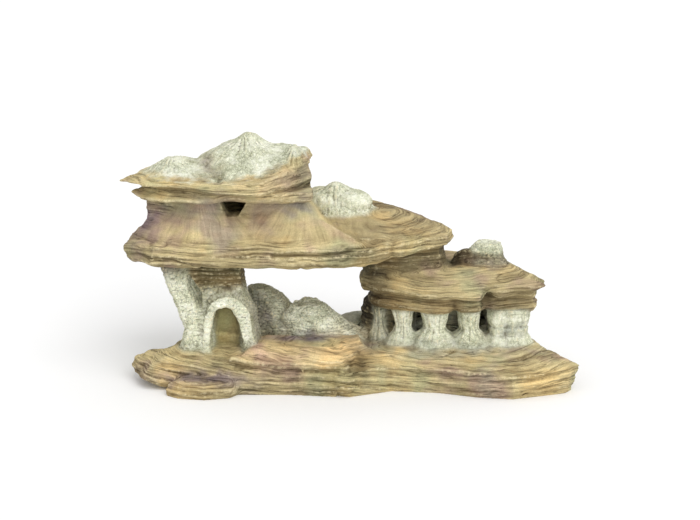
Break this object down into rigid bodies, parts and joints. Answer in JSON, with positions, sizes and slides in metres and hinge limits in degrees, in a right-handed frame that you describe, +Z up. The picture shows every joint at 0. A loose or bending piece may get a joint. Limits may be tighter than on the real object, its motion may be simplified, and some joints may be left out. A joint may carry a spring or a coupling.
{
  "type": "aquarium rock cave ornament",
  "caption": "Cast-resin rock ledge ornament with an arched doorway, a colonnade and a small cave, standing on an aquarium floor.",
  "frame": {"origin": "on the tank floor, under the middle of the ornament's bounding box", "axes": "+X to the right of the front view, along the long ledge; +Y to the back; +Z up"},
  "size_m": [0.395, 0.168, 0.21],
  "materials": {
    "sandstone_base": "hand-painted cast polyresin, matt",
    "sandstone_ledge": "hand-painted cast polyresin, matt",
    "sandstone_caps": "hand-painted cast polyresin, matt",
    "pale_mounds": "hand-painted cast polyresin, matt",
    "pale_pillars": "hand-painted cast polyresin, matt",
    "pale_columns": "hand-painted cast polyresin, matt",
    "shadowed_rock": "hand-painted cast polyresin, matt",
    "grotto_plaster": "hand-painted cast polyresin, matt"
  },
  "bodies": {
    "root": {"base_rock_left": "sandstone_base", "base_slab_right": "sandstone_base", "toe_rock": "sandstone_base", "front_step_rock": "sandstone_base", "long_ledge": "sandstone_ledge", "ledge_shelf": "sandstone_ledge", "cave_block": "sandstone_ledge", "right_cap": "sandstone_ledge", "frieze": "sandstone_ledge", "ledge_spacer": "sandstone_ledge", "lower_cap": "sandstone_caps", "upper_cap": "sandstone_caps", "cap_mound_main": "pale_mounds", "cap_mound_left": "pale_mounds", "cap_mound_right": "pale_mounds", "dome_rock": "pale_mounds", "knob_stump": "pale_mounds", "left_pillar": "pale_pillars", "arch_column": "pale_pillars", "arch_surround": "pale_pillars", "rear_pillar": "pale_pillars", "crater_boulder": "pale_pillars", "column_front_1": "pale_columns", "column_front_2": "pale_columns", "column_front_3": "pale_columns", "column_front_4": "pale_columns", "column_front_5": "pale_columns", "column_rear_1": "pale_columns", "column_rear_2": "pale_columns", "column_rear_3": "pale_columns", "colonnade_core": "shadowed_rock", "flank_rock": "shadowed_rock", "rear_boulder": "shadowed_rock", "buttress_rock": "shadowed_rock", "knob_pebble": "shadowed_rock", "grotto_back_wall": "grotto_plaster"}
  },
  "joints": []
}
